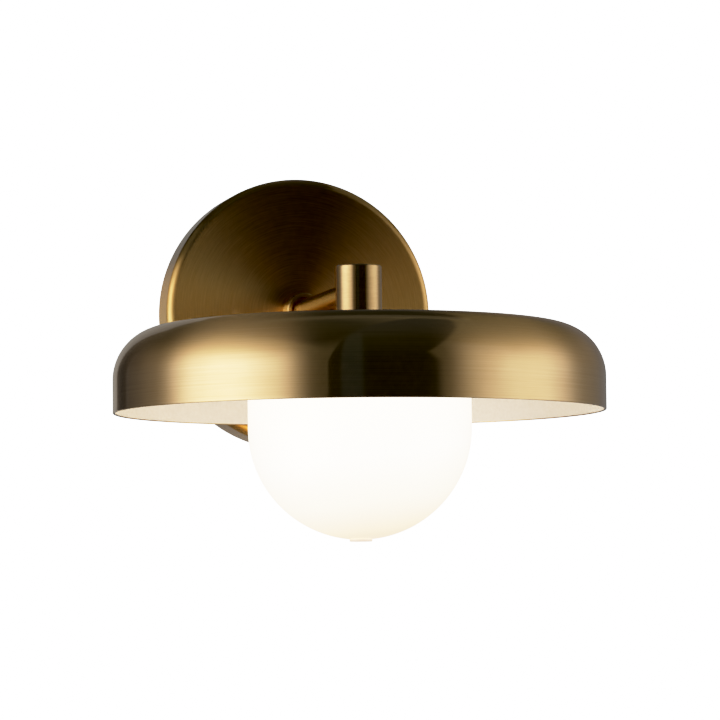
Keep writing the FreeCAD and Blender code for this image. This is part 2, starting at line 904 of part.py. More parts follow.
def lamp_base():
    inner = lamp_base_radius - lamp_base_edge
    return to_head(turned([
        (0, lamp_base_bottom),
        (lamp_base_radius, lamp_base_bottom),
        (lamp_base_radius, lamp_top - lamp_base_edge),
        (inner, lamp_top),
        (0, lamp_top),
    ]))


def lamp_envelope():
    """Clear capsule, open at the base and round at the lower end."""
    tip = (0, lamp_bottom + lamp_envelope_radius)
    inner = lamp_envelope_radius - lamp_envelope_wall
    return to_head(turned([
        (inner, lamp_base_bottom),
        (lamp_envelope_radius, lamp_base_bottom),
        (lamp_envelope_radius, tip[1]),
        (on_circle(tip, lamp_envelope_radius, -45), (0, lamp_bottom)),
        (0, lamp_bottom + lamp_envelope_wall),
        (on_circle(tip, inner, -45), (inner, tip[1])),
    ]))


def lamp_led_board():
    """Upright board with a row of chips on each face."""
    half_width = lamp_board_width / 2
    half_depth = lamp_board_thickness / 2
    bottom = lamp_base_bottom - lamp_board_height
    board = box((-half_width, -half_depth, bottom), (half_width, half_depth, lamp_base_bottom))
    pitch = lamp_board_height / lamp_chip_count
    half_chip = lamp_chip_width / 2
    half_stack = half_depth + lamp_chip_height
    for index in range(lamp_chip_count):
        height = lamp_base_bottom - pitch * index - pitch / 2
        board = board.fuse(box(
            (-half_chip, -half_stack, height - half_chip), (half_chip, half_stack, height + half_chip)))
    return to_head(board.removeSplitter())


save("backplate_cover", backplate_cover())
save("mounting_strap", mounting_strap())
save("cover_screws", *cover_screws())
save("reinforcing_plate", reinforcing_plate())
save("arm_lock_washer", to_front(lock_washer(arm_washer_back)))
save("arm_nut", to_front(hex_nut(arm_nut_back)))
save("ground_screw", ground_screw())
save("ground_ring_arm", ground_ring_arm())
save("ground_ring_strap", ground_ring_strap())
save("lead_ground", lead_ground())
save("terminal_block", terminal_block())
save("terminal_inserts", *terminal_inserts())
save("terminal_screws", *terminal_screws())
save("terminal_fixing_screw", terminal_fixing_screw())
save("arm_collar", arm_collar())
save("arm_tube", arm_tube())
save("wire_bushings", to_front(wire_bushing(arm_bushing_end)), to_head(wire_bushing(stem_bushing_end)))
save("lead_live", power_lead("lead_live", -1))
save("lead_neutral", power_lead("lead_neutral", 1))
save("post_body", post_body())
save("fitter_stem", fitter_stem())
save("shade_shell", shade_shell())
save("shade_washer", shade_washer())
save("fitter_cup", fitter_cup())
save("fitter_lock_washer", to_head(lock_washer(fitter_washer_bottom)))
save("fitter_nut", to_head(hex_nut(fitter_nut_bottom)))
save("lampholder_bracket", lampholder_bracket())
save("holder_screws", *holder_screws())
save("lampholder", lampholder())
save("lampholder_contacts", *lampholder_contacts())
save("globe_gasket", globe_gasket())
save("opal_globe", opal_globe())
save("lamp_base", lamp_base())
save("lamp_pins", *lamp_pins())
save("lamp_envelope", lamp_envelope())
save("lamp_led_board", lamp_led_board())
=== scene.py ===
import math

import bmesh
import bpy
import numpy as np
from mathutils import Matrix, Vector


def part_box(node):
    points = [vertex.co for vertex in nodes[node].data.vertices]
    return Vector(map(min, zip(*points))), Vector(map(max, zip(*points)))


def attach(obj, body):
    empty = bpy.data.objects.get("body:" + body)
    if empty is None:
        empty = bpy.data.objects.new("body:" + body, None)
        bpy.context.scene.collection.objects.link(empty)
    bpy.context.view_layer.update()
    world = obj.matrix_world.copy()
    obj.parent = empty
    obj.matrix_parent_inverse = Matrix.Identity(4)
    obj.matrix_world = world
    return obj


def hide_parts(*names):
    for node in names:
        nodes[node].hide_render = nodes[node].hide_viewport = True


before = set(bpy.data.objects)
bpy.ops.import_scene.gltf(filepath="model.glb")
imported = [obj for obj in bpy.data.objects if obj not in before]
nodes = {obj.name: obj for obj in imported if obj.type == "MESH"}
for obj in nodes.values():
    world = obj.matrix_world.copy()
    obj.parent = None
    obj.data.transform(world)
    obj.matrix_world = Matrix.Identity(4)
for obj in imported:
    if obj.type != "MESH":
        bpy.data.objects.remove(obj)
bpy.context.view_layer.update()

# Backplate cover: a round dish drawn from sheet brass, with its open side to the
# wall. It was brushed on a turntable, so the scratches run in circles round the
# arm, then aged and lacquered. Its brass is drawn a deeper gold than the shade's,
# as painted warm light bounced onto it from the brass round it.


def arc(centre, radius, start, end, count):
    """Points on a circle in the (radius, height) plane: centre + radius * (cos, sin) of evenly spaced
    angles in degrees."""
    angles = np.radians(np.linspace(start, end, count))
    return np.stack([centre[0] + radius * np.cos(angles), centre[1] + radius * np.sin(angles)], axis=1)


def line(start, end, count=2):
    """Evenly spaced points on the straight line from start to end."""
    share = np.linspace(0, 1, count)[:, None]
    return np.array(start) * (1 - share) + np.array(end) * share


def turned_piece(name, runs, axis_at=(0, 0, 0), front=False, around=256):
    """Closed surface of revolution. Each point (r, h) of the joined runs goes to (r cos a, r sin a, h) at
    every angle a. With front the axis lies along -Y, and it goes to (r cos a, -h, r sin a). The UV map
    "lathe" holds (share of a turn, metres along the outline). The attribute "spun" has no seam, and holds
    (r cos a, r sin a, metres along the outline)."""
    same_point = 1e-7
    crease_angle = math.radians(35)
    outline = np.concatenate(runs)
    outline = outline[np.append(True, np.linalg.norm(np.diff(outline, axis=0), axis=1) > same_point)]
    steps = len(outline)
    radius, height = outline.T
    angle = np.linspace(0, 2 * math.pi, around, endpoint=False)
    x, y = np.outer(np.cos(angle), radius), np.outer(np.sin(angle), radius)
    h = np.broadcast_to(height, x.shape)
    along = np.append(0, np.cumsum(np.linalg.norm(np.diff(outline, axis=0, append=outline[:1]), axis=1)))
    spun = np.stack([x, y, np.broadcast_to(along[:-1], x.shape)], axis=2)
    place = np.stack([x, -h, y] if front else [x, y, h], axis=2) + np.array(axis_at)
    turn, step = np.meshgrid(np.arange(around), np.arange(steps), indexing="ij")
    next_turn, next_step = (turn + 1) % around, (step + 1) % steps
    faces = np.stack([turn * steps + step, next_turn * steps + step, next_turn * steps + next_step,
                      turn * steps + next_step], axis=2).reshape(-1, 4)
    u = np.stack([turn, turn + 1, turn + 1, turn], axis=2) / around
    v = np.stack([along[step], along[step], along[step + 1], along[step + 1]], axis=2)
    mesh = bpy.data.meshes.new(name)
    mesh.from_pydata(place.reshape(-1, 3).tolist(), [], faces.tolist())
    mesh.uv_layers.new(name="lathe").data.foreach_set("uv", np.stack([u, v], axis=3).ravel())
    mesh.attributes.new("spun", "FLOAT_VECTOR", "POINT").data.foreach_set("vector", spun.ravel())
    welded = bmesh.new()
    welded.from_mesh(mesh)
    bmesh.ops.remove_doubles(welded, verts=welded.verts, dist=same_point)
    welded.to_mesh(mesh)
    welded.free()
    mesh.shade_smooth()
    mesh.set_sharp_from_angle(angle=crease_angle)
    piece = bpy.data.objects.new(name, mesh)
    bpy.context.scene.collection.objects.link(piece)
    return piece


def stand_in(piece, body, node):
    """The visual piece moves with its body and stands in for the CAD node, which it hides."""
    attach(piece, body)
    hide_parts(node)


def colour(code):
    """Linear colour with alpha 1 from an sRGB hex value such as "#c8a06a"."""
    parts = [int(code[index:index + 2], 16) / 255 for index in (1, 3, 5)]
    return tuple(p / 12.92 if p <= 0.04045 else ((p + 0.055) / 1.055) ** 2.4 for p in parts) + (1.0,)


def add(tree, kind, inputs=(), stops=(), **settings):
    """Adds a node with its settings, its inputs (values or links, by name or number) and colour stops."""
    node = tree.nodes.new(kind)
    for key, value in settings.items():
        setattr(node, key, value)
    for key, value in dict(inputs).items():
        if isinstance(key, str):
            key = next(index for index, socket in enumerate(node.inputs)
                       if socket.name == key and socket.enabled)
        if isinstance(value, bpy.types.NodeSocket):
            tree.links.new(value, node.inputs[key])
        else:
            node.inputs[key].default_value = value
    for index, (place, shade_colour) in enumerate(stops):
        stop = node.color_ramp.elements[index] if index < 2 else node.color_ramp.elements.new(place)
        stop.position = place
        stop.color = shade_colour
    return node


def new_material(name):
    """Empty node material with its tree and its surface input."""
    material = bpy.data.materials.new(name)
    material.use_nodes = True
    material.node_tree.nodes.clear()
    output = add(material.node_tree, "ShaderNodeOutputMaterial")
    return material, material.node_tree, output.inputs["Surface"]


# Nearly all values of a noise texture lie between these two.
noise_low, noise_high = 0.3, 0.7


def brushed_brass(name, low_tone, high_tone, roughness, scratch_length=0.05, relief_share=0.02):
    """Aged brass, brushed round its axis and lacquered. The metal mirrors sharply along the scratches and
    blurs across them, so the eye gets each soft box as a band across the brushing. The lacquer over it is
    smooth, and mirrors the room faintly but sharply. The scratch length is in metres, and the relief share
    says how strongly the scratches stand out."""
    # Real scratches lie about 0.1 mm apart. These are drawn 0.5 mm apart, the finest
    # that the render shows. The tarnish lies over them in clouds 20 mm across.
    scratch_spacing = 0.0005
    scratch_depth = 0.00005
    tarnish_size = 0.02
    tarnish_share = 0.35
    dull_spread = 0.025
    # The tangent runs along the scratches. A quarter of a turn puts the blur across them.
    quarter_turn = 0.25
    material, tree, surface = new_material(name)
    spun = add(tree, "ShaderNodeAttribute", attribute_name="spun")
    scratch_place = add(tree, "ShaderNodeMapping", {"Vector": spun.outputs["Vector"],
                        "Scale": (1 / scratch_length, 1 / scratch_length, 1 / scratch_spacing)})
    scratches = add(tree, "ShaderNodeTexNoise", {"Vector": scratch_place.outputs[0], "Scale": 1.0,
                    "Detail": 3.0, "Roughness": 0.6})
    tarnish = add(tree, "ShaderNodeTexNoise", {"Vector": spun.outputs["Vector"], "Scale": 1 / tarnish_size,
                  "Detail": 2.0})
    both = add(tree, "ShaderNodeMix", {"Factor": tarnish_share, "A": scratches.outputs["Fac"],
               "B": tarnish.outputs["Fac"]})
    tint = add(tree, "ShaderNodeValToRGB", {"Fac": both.outputs[0]},
               stops=[(noise_low, colour(low_tone)), (noise_high, colour(high_tone))])
    rough = add(tree, "ShaderNodeMapRange", {"Value": both.outputs[0], "From Min": noise_low,
                "From Max": noise_high, "To Min": roughness + dull_spread,
                "To Max": roughness - dull_spread})
    relief = add(tree, "ShaderNodeBump", {"Height": scratches.outputs["Fac"], "Strength": relief_share,
                 "Distance": scratch_depth})
    tangent = add(tree, "ShaderNodeTangent", direction_type="UV_MAP", uv_map="lathe")
    metal = add(tree, "ShaderNodeBsdfPrincipled", {
        "Base Color": tint.outputs["Color"], "Metallic": 1.0, "Roughness": rough.outputs["Result"],
        "Anisotropic": 1.0, "Anisotropic Rotation": quarter_turn, "Tangent": tangent.outputs[0],
        "Normal": relief.outputs[0], "Coat Weight": 0.8, "Coat Roughness": 0.0, "Coat IOR": 1.5})
    tree.links.new(metal.outputs[0], surface)
    return material


# Same brass as the shade, drawn deeper and more golden as painted warm bounce light.
brass_painted_bounce_light = brushed_brass("brushed_brass_painted_bounce_light", "#d2a55a", "#eec276", roughness=0.3, scratch_length=0.012)
plate_low, plate_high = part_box("backplate_cover")
plate_radius = plate_high.x
plate_depth = -plate_low.y
plate_wall = 0.0012
plate_edge = 0.0036
plate_hole = 0.00516
edge_centre = (plate_radius - plate_edge, plate_depth - plate_edge)
# The last number of a line or an arc is how many points it has.
cover = turned_piece("brushed_cover", [
    line((plate_radius - plate_wall, 0), (plate_radius, 0)),
    line((plate_radius, 0), (plate_radius, edge_centre[1]), 12),
    arc(edge_centre, plate_edge, 0, 90, 24),
    line((edge_centre[0], plate_depth), (plate_hole, plate_depth), 60),
    line((plate_hole, plate_depth - plate_wall), (edge_centre[0], plate_depth - plate_wall), 20),
    arc(edge_centre, plate_edge - plate_wall, 90, 0, 12),
], front=True)
cover.data.materials.append(brass_painted_bounce_light)
stand_in(cover, "fixture", "backplate_cover")

# Cover screws: two set screws with hexagon sockets, flush in the cover's side at
# the top and the bottom. They are plated to match the brass.


def mottled(name, low_tone, high_tone, grain, roughness, metallic=0.0, relief=0.05):
    """Even finish with a faint cloudy grain of the given size in metres, in colour, gloss and relief. The
    eye gets a real surface instead of a flat colour, and the name says which finish it is."""
    gloss_spread = 0.15
    grain_depth = grain / 20
    material, tree, surface = new_material(name)
    place = add(tree, "ShaderNodeTexCoord")
    cloud = add(tree, "ShaderNodeTexNoise", {"Vector": place.outputs["Object"], "Scale": 1 / grain,
                "Detail": 3.0})
    tint = add(tree, "ShaderNodeValToRGB", {"Fac": cloud.outputs["Fac"]},
               stops=[(noise_low, colour(low_tone)), (noise_high, colour(high_tone))])
    rough = add(tree, "ShaderNodeMapRange", {"Value": cloud.outputs["Fac"], "From Min": noise_low,
                "From Max": noise_high, "To Min": roughness * (1 + gloss_spread),
                "To Max": roughness * (1 - gloss_spread)})
    bump = add(tree, "ShaderNodeBump", {"Height": cloud.outputs["Fac"], "Strength": relief,
               "Distance": grain_depth})
    skin = add(tree, "ShaderNodeBsdfPrincipled", {"Base Color": tint.outputs["Color"],
               "Metallic": metallic, "Roughness": rough.outputs["Result"], "Normal": bump.outputs[0]})
    tree.links.new(skin.outputs[0], surface)
    return material


def finish(material, *names):
    """Gives CAD nodes a material in place of the plain one."""
    for name in names:
        nodes[name].data.materials.clear()
        nodes[name].data.materials.append(material)


finish(mottled("brass_plated_steel", "#b8935a", "#d0ab70", grain=0.002, roughness=0.35, metallic=1.0),
       "cover_screws")

# Strap and clamping stack: a bent strip of zinc plated steel on the wall box, and
# the disc, washer and nut that clamp the arm to the cover. Zinc looks grey and a
# little cloudy.
zinc = mottled("zinc_plated_steel", "#8e9395", "#bcc0c1", grain=0.003, roughness=0.38, metallic=1.0,
               relief=0.1)
finish(zinc, "mounting_strap", "reinforcing_plate", "arm_lock_washer", "arm_nut")

# Ground connection: a green dyed screw, two tinned ring terminals crimped on, and
# a short lead in a green sleeve between them.
finish(mottled("green_zinc_screw", "#1c6b35", "#2f8a4c", grain=0.001, roughness=0.4, metallic=0.6),
       "ground_screw")
finish(mottled("tinned_copper", "#b9b9b4", "#d6d6d1", grain=0.001, roughness=0.3, metallic=1.0),
       "ground_ring_arm", "ground_ring_strap")
finish(mottled("green_pvc_sleeve", "#1b7436", "#26853f", grain=0.002, roughness=0.45), "lead_ground")

# Supply terminals: a moulded nylon block with a bright brass tube in each pole.
# Zinc plated screws clamp the wires and hold the block to the strap.
finish(mottled("white_nylon", "#dedbd0", "#ece9df", grain=0.004, roughness=0.5), "terminal_block")
bright_brass = mottled("bright_brass", "#c9a254", "#dfbd72", grain=0.002, roughness=0.25, metallic=1.0)
finish(bright_brass, "terminal_inserts")
finish(zinc, "terminal_screws", "terminal_fixing_screw")

# Collar: a ring turned from brass bar where the arm meets the cover. A recess in
# its front face leaves a dark groove round the arm.
collar_low, collar_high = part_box("arm_collar")
collar_radius = collar_high.x
collar_front = -collar_low.y
collar_chamfer = 0.0006
recess_radius = 0.0066
recess_floor = collar_front - 0.003
collar_bore = 0.00491
collar = turned_piece("turned_collar", [
    line((collar_bore, plate_depth), (collar_radius, plate_depth), 4),
    line((collar_radius, plate_depth), (collar_radius, collar_front - collar_chamfer), 12),
    line((collar_radius - collar_chamfer, collar_front), (recess_radius, collar_front), 4),
    line((recess_radius, collar_front), (recess_radius, recess_floor), 4),
    line((recess_radius, recess_floor), (collar_bore, recess_floor), 3),
], front=True, around=128)
# The collar's brass is drawn a deeper gold than the shade's, as painted warm bounce light.
collar.data.materials.append(brushed_brass("collar_brass_painted_bounce_light", "#dcae5c", "#ecbf6e", roughness=0.42))
stand_in(collar, "fixture", "arm_collar")

# Arm: a straight brass tube, brushed round, with a cut thread on the tail that
# goes through the cover. Its front end sits in the post.
arm_low, arm_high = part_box("arm_tube")
arm_radius = arm_high.x
arm_tail = -arm_high.y
arm_nose = -arm_low.y
arm_bore = 0.0035
thread_radius = 0.00486
thread_pitch = 0.001
thread_depth = 0.0003
arm_step = 0.026
arm_socket = 0.12484
tail_steps = 2 * int((arm_step - arm_tail) / thread_pitch) + 1
tail_run = line((thread_radius, arm_tail), (thread_radius, arm_step), tail_steps)
tail_run[::2, 0] -= thread_depth
arm = turned_piece("brushed_arm", [
    line((arm_bore, arm_tail), (thread_radius - thread_depth, arm_tail)),
    tail_run,
    line((arm_radius, arm_step), (arm_radius, arm_socket), 60),
    line((thread_radius, arm_socket), (thread_radius, arm_nose), 3),
    line((arm_bore, arm_nose), (arm_bore, arm_tail), 8),
], front=True, around=96)
# The arm's brass is drawn a deeper gold than the shade's, as painted warm bounce light. Its lower roughness
# is real.
arm.data.materials.append(brushed_brass("fine_brass_painted_bounce_light", "#e0b768", "#f0c878", roughness=0.22))
stand_in(arm, "fixture", "arm_tube")

# Leads and bushings: two sleeved leads from the lampholder to the terminals, and
# black nylon bushings that keep them off the tube ends.
finish(mottled("brown_pvc_sleeve", "#4f2815", "#633620", grain=0.002, roughness=0.45), "lead_live")
finish(mottled("blue_pvc_sleeve", "#1b4a92", "#2959a5", grain=0.002, roughness=0.45), "lead_neutral")
finish(mottled("black_nylon", "#101010", "#1e1e1e", grain=0.002, roughness=0.5), "wire_bushings")

# Post: a short cylinder turned from brass bar that stands on the shade. The fine
# chamfer round its top catches the light.
post_low, post_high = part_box("post_body")
post_radius = (post_high.x - post_low.x) / 2
head_y = (post_low.y + post_high.y) / 2
head_axis = (0, head_y, 0)
post_chamfer = 0.0005
# The post's brass is drawn darker than the shade's as painted shade: the shade below it and the plate behind
# it keep part of the soft boxes' light from it.
shaded_post_brass = brushed_brass("post_brushed_brass_painted_shade", "#c5a067", "#d9b47a", roughness=0.3,
                             scratch_length=0.004, relief_share=0.05)
post = turned_piece("turned_post", [
    line((0, post_low.z), (post_radius, post_low.z), 6),
    line((post_radius, post_low.z), (post_radius, post_high.z - post_chamfer), 40),
    line((post_radius - post_chamfer, post_high.z), (0, post_high.z), 16),
], axis_at=head_axis, around=160)
post.data.materials.append(shaded_post_brass)
stand_in(post, "fixture", "post_body")

# Shade: one disc of sheet brass, spun to a flat seat, a shallow crown, a round
# shoulder and a straight skirt. The outside is brushed on the lathe, and the
# inside is sprayed with matt white enamel.
shade_low, shade_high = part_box("shade_shell")
shade_radius = shade_high.x
shade_wall = 0.0012
shade_skirt = 0.0146
shoulder_radius = 0.0232
crown_rise = 0.00256
seat_radius = 0.016
shade_hole = 0.00516
rim_edge = 0.00045
rim_z = shade_low.z
seat_z = shade_high.z
inner_radius = shade_radius - shade_wall
shoulder_centre = (shade_radius - shoulder_radius, rim_z + shade_skirt)
crown_height = shoulder_radius + crown_rise
crown_radius = (shoulder_centre[0] ** 2 + crown_height ** 2 - shoulder_radius ** 2) / (2 * crown_rise)
crown_centre = (0, shoulder_centre[1] + crown_height - crown_radius)
crown_meet = 90 - math.degrees(math.asin(shoulder_centre[0] / (crown_radius - shoulder_radius)))
seat_meet = 90 - math.degrees(math.asin(seat_radius / crown_radius))
shade = turned_piece("spun_shade", [
    arc((shade_radius - rim_edge, rim_z + rim_edge), rim_edge, -90, 0, 7),
    line((shade_radius, rim_z + rim_edge), (shade_radius, shoulder_centre[1]), 16),
    arc(shoulder_centre, shoulder_radius, 0, crown_meet, 48),
    arc(crown_centre, crown_radius, crown_meet, seat_meet, 60),
    line((seat_radius, seat_z), (shade_hole, seat_z), 8),
    line((shade_hole, seat_z - shade_wall), (seat_radius, seat_z - shade_wall), 8),
    arc(crown_centre, crown_radius - shade_wall, seat_meet, crown_meet, 50),
    arc(shoulder_centre, shoulder_radius - shade_wall, crown_meet, 0, 36),
    line((inner_radius, shoulder_centre[1]), (inner_radius, rim_z + rim_edge), 12),
    arc((inner_radius + rim_edge, rim_z + rim_edge), rim_edge, 180, 270, 7),
], axis_at=head_axis, around=384)
# Enamel covers the faces that look inwards on the skirt, and down above the skirt.
enamel = mottled("matt_white_enamel", "#f1ece3", "#f8f4ec", grain=0.0015, roughness=0.55, relief=0.02)
shade.data.materials.append(brushed_brass("spun_brushed_brass", "#dab37b", "#eac690", roughness=0.3))
shade.data.materials.append(enamel)
face_normal = np.array([polygon.normal for polygon in shade.data.polygons])
face_place = np.array([polygon.center for polygon in shade.data.polygons])
turned_in = ((face_place - head_axis) * face_normal)[:, :2].sum(axis=1) < 0
above_rim = face_place[:, 2] > rim_z + rim_edge
painted = np.where(face_place[:, 2] < shoulder_centre[1], turned_in & above_rim, face_normal[:, 2] < 0)
shade.data.polygons.foreach_set("material_index", painted.astype(np.int32))
stand_in(shade, "fixture", "shade_shell")

# Fitter: a threaded zinc plated tube from the post, with a washer, a lock washer
# and a nut. They clamp an enamelled steel cup, whose rolled wall takes the glass.
finish(enamel, "shade_washer", "fitter_cup")
finish(zinc, "fitter_stem", "fitter_lock_washer", "fitter_nut")

# Lampholder: an unglazed ceramic body with two brass contacts, held by two screws
# in a bent zinc plated strip.
finish(mottled("unglazed_ceramic", "#ddd6c6", "#ece6d8", grain=0.003, roughness=0.7, relief=0.15),
       "lampholder")
finish(bright_brass, "lampholder_contacts")
finish(zinc, "lampholder_bracket", "holder_screws")

# Gasket: a ring punched from clear silicone sheet, between the cup's flange and the
# glass. It is soft and a little cloudy, and comes down with the glass.
finish(mottled("clear_silicone", "#d3d3ca", "#e2e2da", grain=0.002, roughness=0.35), "globe_gasket")

# Globe: opal white glass blown in a mould, with a screw neck, a straight side, a
# round bottom and a small flat nub at the lowest point. The lamp inside makes all
# of it glow, a little creamier at the bottom and at the edge.
globe_low, globe_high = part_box("opal_globe")
globe_radius = globe_high.x
globe_wall = 0.003
nub_height = 0.0008
nub_radius = 0.005
nub_edge = 0.0005
neck_radius = 0.0278
neck_fillet = 0.001
shoulder_round = 0.013
shoulder_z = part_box("globe_gasket")[0].z
globe_centre = (0, globe_low.z + nub_height + globe_radius)
glass_shoulder = (globe_radius - shoulder_round, shoulder_z - shoulder_round)
throat = (neck_radius + neck_fillet, shoulder_z + neck_fillet)
nub_meet = math.degrees(math.asin(nub_radius / globe_radius)) - 90
globe = turned_piece("blown_globe", [
    line((0, globe_low.z), (nub_radius - nub_edge, globe_low.z), 6),
    arc((nub_radius - nub_edge, globe_low.z + nub_edge), nub_edge, -90, 0, 7),
    arc(globe_centre, globe_radius, nub_meet, 0, 80),
    line((globe_radius, globe_centre[1]), (globe_radius, glass_shoulder[1]), 12),
    arc(glass_shoulder, shoulder_round, 0, 90, 24),
    line((glass_shoulder[0], shoulder_z), (throat[0], shoulder_z), 4),
    arc(throat, neck_fillet, 270, 180, 7),
    line((neck_radius, throat[1]), (neck_radius, globe_high.z), 8),
    line((neck_radius - globe_wall, globe_high.z), (neck_radius - globe_wall, throat[1]), 8),
    arc(throat, neck_fillet + globe_wall, 180, 270, 9),
    line((throat[0], shoulder_z - globe_wall), (glass_shoulder[0], shoulder_z - globe_wall), 4),
    arc(glass_shoulder, shoulder_round - globe_wall, 90, 0, 16),
    line((globe_radius - globe_wall, glass_shoulder[1]), (globe_radius - globe_wall, globe_centre[1]), 8),
    arc(globe_centre, globe_radius - globe_wall, 0, -90, 50),
], axis_at=head_axis, around=192)


# The level of light that the picture shows as pure white.
picture_white = 2.4


def lit_opal(name, low_z, high_z):
    """Opal glass lit from inside. The eye gets an almost even warm white, since the exposure hides the lamp.
    It is a little creamier low down, to the right, at the edge and on the nub. Other surfaces get its full
    light, which is warmer and stronger than the picture can show."""
    cloud_size = 0.025
    cloud_share = 0.02
    half_width = 0.05
    lean_share = 0.12
    nub_shares = (0.012, 0.016)
    nub_level = 0.8
    edge_blend = 0.12
    edge_tone = colour("#cbb494")
    # The light that it sheds is full on the left, and weaker on the right.
    side_swing, side_level = 1.2, 0.86
    shed_light = (1.4, 1.12, 0.82, 1)
    mirrored_light = (1.4, 0.85, 0.3, 1)
    # Share of the height from the lowest point, and colour.
    glow_tones = [(0.0, "#ccb19a"), (0.035, "#d2b899"), (0.085, "#e2c8a6"), (0.3, "#eee3cb"),
                  (0.65, "#f5f0e6"), (1.0, "#f8f2e6")]
    material, tree, surface = new_material(name)
    place = add(tree, "ShaderNodeTexCoord")
    split = add(tree, "ShaderNodeSeparateXYZ", {"Vector": place.outputs["Object"]})
    height = add(tree, "ShaderNodeMapRange", {"Value": split.outputs["Z"], "From Min": low_z,
                 "From Max": high_z})
    cloud = add(tree, "ShaderNodeTexNoise", {"Vector": place.outputs["Object"], "Scale": 1 / cloud_size,
                "Detail": 1.0})
    drift = add(tree, "ShaderNodeMapRange", {"Value": cloud.outputs["Fac"], "To Min": -cloud_share,
                "To Max": cloud_share})
    lean = add(tree, "ShaderNodeMapRange", {"Value": split.outputs["X"], "From Min": -half_width,
               "From Max": half_width, "To Min": lean_share, "To Max": -lean_share})
    level = add(tree, "ShaderNodeMath", {0: height.outputs["Result"], 1: drift.outputs["Result"]},
                operation="ADD")
    leaned = add(tree, "ShaderNodeMath", {0: level.outputs[0], 1: lean.outputs["Result"]}, operation="ADD")
    glow = add(tree, "ShaderNodeValToRGB", {"Fac": leaned.outputs[0]},
               stops=[(share, colour(code)) for share, code in glow_tones])
    edge = add(tree, "ShaderNodeLayerWeight", {"Blend": edge_blend})
    seen_glow = add(tree, "ShaderNodeMix", {"Factor": edge.outputs["Facing"], "A": glow.outputs["Color"],
                    "B": edge_tone}, data_type="RGBA")
    nub = add(tree, "ShaderNodeMapRange", {"Value": height.outputs["Result"], "From Min": nub_shares[0],
              "From Max": nub_shares[1], "To Min": nub_level, "To Max": 1.0})
    dulled = add(tree, "ShaderNodeMix", {"Factor": 1.0, "A": seen_glow.outputs[2],
                 "B": nub.outputs["Result"]}, data_type="RGBA", blend_type="MULTIPLY")
    side = add(tree, "ShaderNodeMath", {0: lean.outputs["Result"], 1: side_swing, 2: side_level},
               operation="MULTIPLY_ADD")
    rays = add(tree, "ShaderNodeLightPath")
    warmth = add(tree, "ShaderNodeMix", {"Factor": rays.outputs["Is Glossy Ray"], "A": shed_light,
                 "B": mirrored_light}, data_type="RGBA")
    cast = add(tree, "ShaderNodeMix", {"Factor": 1.0, "A": warmth.outputs[2], "B": side.outputs[0]},
               data_type="RGBA", blend_type="MULTIPLY")
    shown = add(tree, "ShaderNodeMix", {"Factor": rays.outputs["Is Camera Ray"], "A": cast.outputs[2],
                "B": dulled.outputs[2]}, data_type="RGBA")
    glass = add(tree, "ShaderNodeBsdfPrincipled", {"Base Color": colour("#5f5d58"), "Roughness": 0.35,
                "IOR": 1.52, "Emission Color": shown.outputs[2], "Emission Strength": picture_white})
    tree.links.new(glass.outputs[0], surface)
    return material


globe.data.materials.append(lit_opal("lit_opal_glass", globe_low.z, rim_z))
stand_in(globe, "globe", "opal_globe")

# Lamp: a plug-in lamp with a fine ceramic base, two nickel wire loops, a clear
# glass capsule and a white board with yellow chips on both faces.
finish(mottled("fine_ceramic", "#e9e6dd", "#f5f2ea", grain=0.002, roughness=0.35), "lamp_base")
finish(mottled("nickel_wire", "#b7b2a6", "#d2cec4", grain=0.001, roughness=0.2, metallic=1.0), "lamp_pins")


def clear_capsule(name):
    """Clear pressed glass. The eye gets a thin shiny skin with faint ripples, and the board behind it."""
    ripple_size = 0.004
    ripple_depth = 0.0002
    material, tree, surface = new_material(name)
    place = add(tree, "ShaderNodeTexCoord")
    ripple = add(tree, "ShaderNodeTexNoise", {"Vector": place.outputs["Object"], "Scale": 1 / ripple_size})
    bump = add(tree, "ShaderNodeBump", {"Height": ripple.outputs["Fac"], "Strength": 0.1,
               "Distance": ripple_depth})
    glass = add(tree, "ShaderNodeBsdfPrincipled", {"Base Color": colour("#fbfbfa"), "Roughness": 0.03,
                "Transmission Weight": 1.0, "IOR": 1.5, "Normal": bump.outputs[0]})
    tree.links.new(glass.outputs[0], surface)
    return material


def chip_board(name, middle_y, half_thickness):
    """White board with yellow chips. Whatever stands out from the board's faces is a chip."""
    grain_size = 0.00125
    material, tree, surface = new_material(name)
    place = add(tree, "ShaderNodeTexCoord")
    split = add(tree, "ShaderNodeSeparateXYZ", {"Vector": place.outputs["Object"]})
    off = add(tree, "ShaderNodeMath", {0: split.outputs["Y"], 1: middle_y}, operation="SUBTRACT")
    away = add(tree, "ShaderNodeMath", {0: off.outputs[0]}, operation="ABSOLUTE")
    chip = add(tree, "ShaderNodeMath", {0: away.outputs[0], 1: half_thickness}, operation="GREATER_THAN")
    cloud = add(tree, "ShaderNodeTexNoise", {"Vector": place.outputs["Object"], "Scale": 1 / grain_size})
    board = add(tree, "ShaderNodeValToRGB", {"Fac": cloud.outputs["Fac"]},
                stops=[(noise_low, colour("#e6e3d8")), (noise_high, colour("#f3f1ea"))])
    gel = add(tree, "ShaderNodeValToRGB", {"Fac": cloud.outputs["Fac"]},
              stops=[(noise_low, colour("#d9a326")), (noise_high, colour("#ecc04a"))])
    tint = add(tree, "ShaderNodeMix", {"Factor": chip.outputs[0], "A": board.outputs["Color"],
               "B": gel.outputs["Color"]}, data_type="RGBA")
    skin = add(tree, "ShaderNodeBsdfPrincipled", {"Base Color": tint.outputs[2], "Roughness": 0.5})
    tree.links.new(skin.outputs[0], surface)
    return material


# Half the board's thickness, and a little more, so that its own faces aren't chips.
board_face = 0.00063
finish(clear_capsule("clear_lamp_glass"), "lamp_envelope")
finish(chip_board("lamp_board", head_y, board_face), "lamp_led_board")

